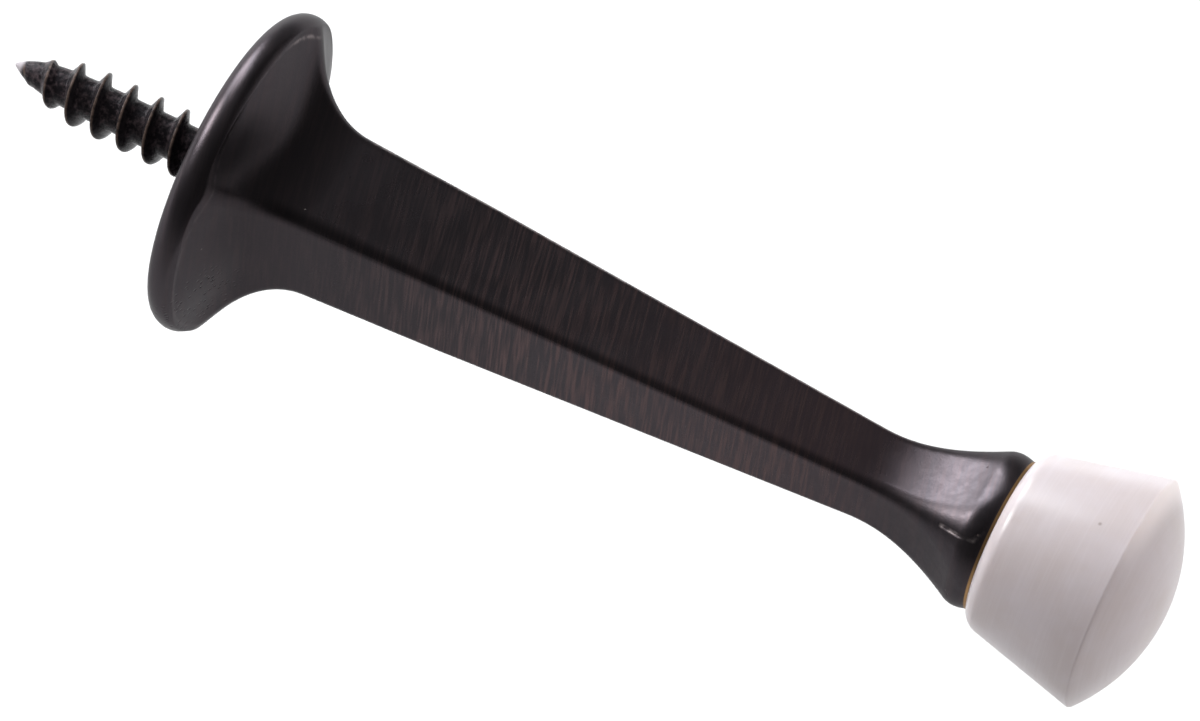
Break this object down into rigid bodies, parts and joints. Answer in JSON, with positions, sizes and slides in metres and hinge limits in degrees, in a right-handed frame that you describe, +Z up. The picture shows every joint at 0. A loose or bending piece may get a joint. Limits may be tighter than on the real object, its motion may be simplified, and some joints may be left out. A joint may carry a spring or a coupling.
{
  "type": "rigid door stop",
  "caption": "Rigid door stop: round flange, square tapered stem with a flared neck, wood screw at the back and a pale domed rubber bumper at the front.",
  "frame": {"origin": "centre of the flange's flat back face, which sits on the wall or skirting board", "axes": "+X out of the wall along the axis to the bumper, +Z up, and the stem's flat faces look along Y and Z"},
  "size_m": [0.0937, 0.0252, 0.0252],
  "materials": {
    "body": "dark oil-rubbed bronze on a zinc casting, satin, brushed across the stem",
    "screw": "dark bronze over steel, rough in the thread's root, worn at the point",
    "bumper": "pale grey-white moulded rubber, satin"
  },
  "bodies": {
    "root": {"body": "body", "screw": "screw", "bumper": "bumper"}
  },
  "joints": []
}
